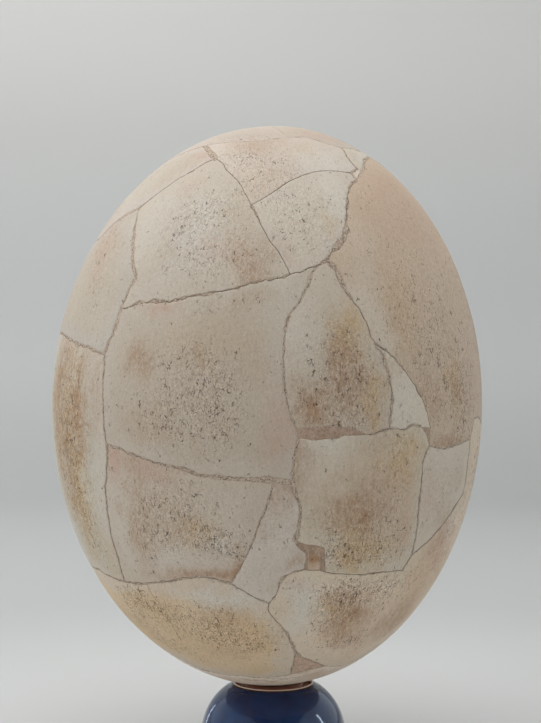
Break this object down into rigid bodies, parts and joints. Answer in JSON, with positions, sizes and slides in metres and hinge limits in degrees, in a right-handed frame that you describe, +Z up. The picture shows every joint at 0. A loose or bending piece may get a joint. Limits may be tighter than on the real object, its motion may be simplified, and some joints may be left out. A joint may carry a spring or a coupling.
{
  "type": "elephant bird egg on a stand",
  "caption": "Large upright egg glued together again from curved shell shards with filler in the gaps, resting on its tip in the mouth of a small domed glazed stand.",
  "frame": {"origin": "on the surface that the stand's foot rests on, below the middle of the egg", "axes": "+Z up along the egg's length, the pictured front facing -Y, +X to the viewer's right"},
  "size_m": [0.2305, 0.2305, 0.3494],
  "materials": {
    "eggshell": "matte, finely pitted",
    "stained_eggshell": "matte, brown and ochre stains",
    "filler": "matte, slightly rough",
    "glaze": "glossy dark blue glaze with a bare clay lip"
  },
  "bodies": {
    "root": {"shard_shoulder_sliver": "eggshell", "shard_top_front": "eggshell", "shard_crown_left": "eggshell", "shard_crown_right": "eggshell", "shard_crown_wedge": "eggshell", "shard_upper_left": "eggshell", "shard_upper_middle": "eggshell", "shard_left_shoulder": "eggshell", "shard_left_flank": "stained_eggshell", "shard_centre_left": "eggshell", "shard_triangle": "stained_eggshell", "shard_small_sliver": "eggshell", "shard_right_shoulder": "eggshell", "shard_lower_left": "eggshell", "shard_tongue": "eggshell", "shard_centre_right": "stained_eggshell", "shard_right_wedge": "eggshell", "shard_lower_right": "eggshell", "shard_bottom_left": "stained_eggshell", "shard_bottom_cap": "eggshell", "chip_crown": "eggshell", "chip_red": "stained_eggshell", "fill_tongue_side": "filler", "fill_triangle_foot": "filler", "fill_right_corner": "filler", "fill_low_gap": "filler", "shard_back_top_left": "eggshell", "shard_back_top_right": "eggshell", "shard_back_left": "eggshell", "shard_back_middle_high": "stained_eggshell", "shard_back_middle_low": "eggshell", "shard_back_right": "eggshell", "shard_back_lower_left": "stained_eggshell", "shard_back_lower_middle": "eggshell", "shard_back_lower_right": "stained_eggshell", "shard_back_base_left": "eggshell", "shard_back_base_middle": "stained_eggshell", "shard_back_base_right": "eggshell", "fill_back": "filler", "stand": "glaze"}
  },
  "joints": []
}
